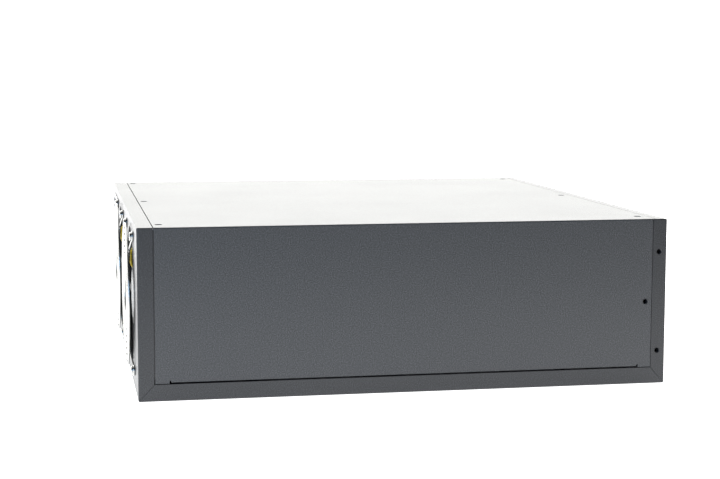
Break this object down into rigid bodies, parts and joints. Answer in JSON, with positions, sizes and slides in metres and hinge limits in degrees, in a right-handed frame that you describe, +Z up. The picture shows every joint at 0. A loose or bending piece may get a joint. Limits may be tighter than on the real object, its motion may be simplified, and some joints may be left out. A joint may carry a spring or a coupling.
{
  "type": "uninterruptible power supply",
  "caption": "Rack-height uninterruptible power supply in a dark grey sheet-metal case, with rear fans behind wire guards, a front display with keys and a battery drawer.",
  "frame": {"origin": "on the ground under the middle of the case", "axes": "+Z up, the front with the display towards -Y, the rear with the fans towards +Y, +X to the right seen from the front"},
  "size_m": [0.44, 0.4264, 0.135],
  "materials": {
    "chassis_paint": "dark slate-grey fine-texture powder coat, semi-gloss",
    "panel_paint": "the same powder coat, a little darker on the end panels and the base",
    "foot_rubber": "matt",
    "dark_screws": "black oxide",
    "zinc_steel": "zinc plated",
    "nickel_wire": "bright nickel plate",
    "black_plastic": "moulded",
    "lead_yellow": "cable insulation",
    "lead_red": "insulation",
    "battery_case": "moulded ABS",
    "rail_plastic": "acetal",
    "gloss_black": "gloss",
    "display_glass": "clear",
    "screen": "liquid crystal panel",
    "circuit_board": "solder mask",
    "lamp_plastic": "translucent",
    "key_plastic": "moulded",
    "brass": "plated",
    "connector_grey": "moulded",
    "aluminium": "extruded",
    "can_sleeve": "shrink sleeve",
    "ferrite": "sintered",
    "coil_tape": "polyester tape",
    "copper_wire": "enamelled copper",
    "relay_case": "moulded",
    "ribbon_grey": "flat cable"
  },
  "bodies": {
    "chassis": {"base_pan": "panel_paint", "battery_harness": "lead_red", "battery_port": "connector_grey", "battery_receptacle": "zinc_steel", "board_standoffs": "zinc_steel", "breaker_body": "black_plastic", "bus_capacitors": "can_sleeve", "case_screws": "dark_screws", "chokes": "copper_wire", "control_board": "circuit_board", "control_parts": "black_plastic", "cover_lips": "panel_paint", "data_ports": "connector_grey", "display_bezel": "gloss_black", "display_board": "circuit_board", "display_lens": "display_glass", "divider": "zinc_steel", "drawer_rails": "rail_plastic", "ear_inserts": "panel_paint", "earth_stud": "zinc_steel", "fan_frame_a": "black_plastic", "fan_frame_b": "black_plastic", "fan_guard_a": "nickel_wire", "fan_guard_b": "nickel_wire", "fan_leads": "lead_yellow", "fan_screws": "nickel_wire", "feet": "foot_rubber", "front_panel": "panel_paint", "heat_sinks": "aluminium", "inlet_leads": "lead_yellow", "inlet_pins": "brass", "inlet_socket": "gloss_black", "main_board": "circuit_board", "mains_filter": "aluminium", "outlet_board": "circuit_board", "outlet_sockets": "gloss_black", "power_transistors": "black_plastic", "rear_panel": "panel_paint", "relays": "relay_case", "ribbon_cable": "ribbon_grey", "screen_module": "screen", "serial_port": "zinc_steel", "status_lamps": "lamp_plastic", "stop_terminal": "black_plastic", "top_cover": "chassis_paint", "transformer": "ferrite", "transformer_coil": "coil_tape"},
    "fan_rotor_a": {"fan_rotor_a": "black_plastic"},
    "fan_rotor_b": {"fan_rotor_b": "black_plastic"},
    "battery_drawer": {"battery_tray": "zinc_steel", "drawer_front": "chassis_paint", "thumb_screws": "nickel_wire", "batteries": "battery_case", "battery_links": "lead_red", "battery_plug": "black_plastic"},
    "power_key": {"power_key": "key_plastic"},
    "mute_key": {"mute_key": "key_plastic"},
    "scroll_key": {"scroll_key": "key_plastic"},
    "enter_key": {"enter_key": "key_plastic"},
    "breaker_button": {"breaker_button": "black_plastic"}
  },
  "joints": [
    {"name": "fan_a_spin", "type": "hinge", "parent": "chassis", "child": "fan_rotor_a", "pos_m": [-0.12, 0.19, 0.071], "axis": [0, 1, 0], "continuous": true},
    {"name": "fan_b_spin", "type": "hinge", "parent": "chassis", "child": "fan_rotor_b", "pos_m": [0.055, 0.19, 0.071], "axis": [0, 1, 0], "continuous": true},
    {"name": "drawer_slide", "type": "slide", "parent": "chassis", "child": "battery_drawer", "axis": [0, -1, 0], "range_m": [0, 0.3]},
    {"name": "power_key_press", "type": "slide", "parent": "chassis", "child": "power_key", "axis": [0, 1, 0], "range_m": [0, 0.001], "stiffness_N_per_m": 1500},
    {"name": "mute_key_press", "type": "slide", "parent": "chassis", "child": "mute_key", "axis": [0, 1, 0], "range_m": [0, 0.001], "stiffness_N_per_m": 1500},
    {"name": "scroll_key_press", "type": "slide", "parent": "chassis", "child": "scroll_key", "axis": [0, 1, 0], "range_m": [0, 0.001], "stiffness_N_per_m": 1500},
    {"name": "enter_key_press", "type": "slide", "parent": "chassis", "child": "enter_key", "axis": [0, 1, 0], "range_m": [0, 0.001], "stiffness_N_per_m": 1500},
    {"name": "breaker_press", "type": "slide", "parent": "chassis", "child": "breaker_button", "axis": [0, -1, 0], "range_m": [0, 0.002], "stiffness_N_per_m": 1500}
  ]
}
